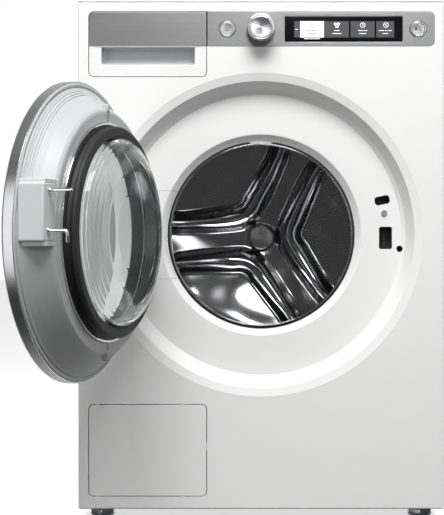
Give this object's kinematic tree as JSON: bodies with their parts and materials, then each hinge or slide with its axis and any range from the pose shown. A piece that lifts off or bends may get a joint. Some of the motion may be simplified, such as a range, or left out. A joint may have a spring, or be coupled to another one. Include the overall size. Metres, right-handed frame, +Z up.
{
  "type": "front load washing machine",
  "caption": "Freestanding front load washer with a round glass door standing open, detergent drawer, control strip with knob and display, drum, tub, drive and pump.",
  "frame": {"origin": "on the floor, in the middle of the footprint of the machine with its door open", "axes": "+Z up, +Y from the front towards the back, +X to the right as seen from the front"},
  "size_m": [0.6579, 1.008, 0.85],
  "materials": {
    "white_paint": "fine powder coat, satin",
    "grey_paint": "galvanised and clear coated",
    "cast_weight": "painted grey casting",
    "black_plastic": "fine moulded texture",
    "white_plastic": "fine moulded texture",
    "grey_plastic": "fine moulded texture",
    "tub_plastic": "moulded, slightly rough",
    "board": "solder resist",
    "brushed_steel": "brushed along its length",
    "polished_steel": "mirror polished stainless steel",
    "zinc_steel": "zinc plated",
    "satin_cover": "satin painted",
    "aluminium_cast": "as cast",
    "rubber_black": "smooth moulded rubber",
    "clear_glass": "clear, moulded",
    "tinted_glass": "light grey tint, black print round its rim",
    "display_glass": "black glass over a display"
  },
  "bodies": {
    "cabinet": {"left_side_panel": "white_paint", "right_side_panel": "white_paint", "back_panel": "grey_paint", "top_cover": "white_paint", "upper_crossbars": "grey_paint", "base_pan": "black_plastic", "front_panel": "white_paint", "control_fascia": "brushed_steel", "display_window": "display_glass", "control_board": "board", "dispenser_housing": "grey_plastic", "inlet_valve": "grey_plastic", "drain_pump": "grey_plastic", "drain_pipe": "black_plastic", "hinge_bracket": "grey_paint", "hinge_cover": "white_plastic", "hinge_pin": "zinc_steel", "door_lock": "black_plastic", "fasteners": "zinc_steel", "opening_rim": "polished_steel", "tub_bellows": "rubber_black", "damper_cylinders": "black_plastic", "suspension_springs": "zinc_steel", "mains_inlet": "black_plastic", "rubber_hoses": "rubber_black"},
    "drawer": {"drawer_front": "white_plastic", "drawer_trim": "brushed_steel", "drawer_tray": "white_plastic"},
    "power_key": {"power_button": "brushed_steel"},
    "start_key": {"start_button": "brushed_steel"},
    "knob_press_body": {"knob_plunger": "grey_plastic"},
    "knob": {"program_knob": "brushed_steel"},
    "hatch": {"pump_hatch": "white_plastic"},
    "filter": {"filter_cap": "black_plastic"},
    "door": {"door_bezel": "brushed_steel", "door_outer_glass": "tinted_glass", "door_inner_frame": "grey_plastic", "door_clamp_ring": "polished_steel", "door_gasket": "rubber_black", "door_glass_bowl": "clear_glass", "latch_cover": "satin_cover", "latch_hooks": "zinc_steel", "hinge_leaf": "zinc_steel"},
    "tub": {"tub_front": "tub_plastic", "tub_rear": "tub_plastic", "counterweights": "cast_weight", "heater": "zinc_steel", "motor": "grey_paint", "drive_belt": "rubber_black", "damper_rods": "zinc_steel", "bearings": "zinc_steel"},
    "drum": {"drum_shell": "polished_steel", "drum_back": "polished_steel", "drum_lifters": "polished_steel", "drum_cap": "polished_steel", "drum_spider": "aluminium_cast", "drum_pulley": "aluminium_cast"},
    "motor_rotor": {"motor_pulley": "zinc_steel"},
    "left_foot": {"foot_left": "zinc_steel"},
    "right_foot": {"foot_right": "zinc_steel"}
  },
  "joints": [
    {"name": "door_hinge", "type": "hinge", "parent": "cabinet", "child": "door", "pos_m": [-0.16426, -0.10386, 0.4685], "axis": [0, 0, 1], "range_deg": [0, 109]},
    {"name": "drawer_slide", "type": "slide", "parent": "cabinet", "child": "drawer", "axis": [0, -1, 0], "range_m": [0, 0.2]},
    {"name": "power_press", "type": "slide", "parent": "cabinet", "child": "power_key", "axis": [0, 1, 0], "range_m": [0, 0.0015], "stiffness_N_per_m": 1500},
    {"name": "start_press", "type": "slide", "parent": "cabinet", "child": "start_key", "axis": [0, 1, 0], "range_m": [0, 0.0015], "stiffness_N_per_m": 1500},
    {"name": "knob_press", "type": "slide", "parent": "cabinet", "child": "knob_press_body", "axis": [0, 1, 0], "range_m": [0, 0.0012], "stiffness_N_per_m": 2500},
    {"name": "knob_turn", "type": "hinge", "parent": "knob_press_body", "child": "knob", "pos_m": [0.03134, -0.09496, 0.803], "axis": [0, -1, 0], "continuous": true},
    {"name": "hatch_hinge", "type": "hinge", "parent": "cabinet", "child": "hatch", "pos_m": [-0.23866, -0.07776, 0.117], "axis": [0, 0, -1], "range_deg": [0, 95]},
    {"name": "filter_turn", "type": "hinge", "parent": "cabinet", "child": "filter", "pos_m": [-0.15366, -0.05096, 0.105], "axis": [0, 1, 0], "range_deg": [0, 180]},
    {"name": "tub_bounce", "type": "slide", "parent": "cabinet", "child": "tub", "axis": [0, 0, 1], "range_m": [-0.008, 0.008], "stiffness_N_per_m": 60000, "springref_m": 0.00864, "deforming": ["suspension_springs", "rubber_hoses", "tub_bellows"]},
    {"name": "drum_spin", "type": "hinge", "parent": "tub", "child": "drum", "pos_m": [0.03134, 0.21904, 0.4685], "axis": [0, 1, 0], "continuous": true},
    {"name": "motor_spin", "type": "hinge", "parent": "tub", "child": "motor_rotor", "pos_m": [0.07134, 0.45904, 0.15], "axis": [0, 1, 0], "continuous": true},
    {"name": "left_foot_level", "type": "slide", "parent": "cabinet", "child": "left_foot", "axis": [0, 0, -1], "range_m": [0, 0.012]},
    {"name": "right_foot_level", "type": "slide", "parent": "cabinet", "child": "right_foot", "axis": [0, 0, -1], "range_m": [0, 0.012]}
  ],
  "couplings": [
    {"joint": "motor_spin", "follows": "drum_spin", "ratio": 11.667}
  ]
}
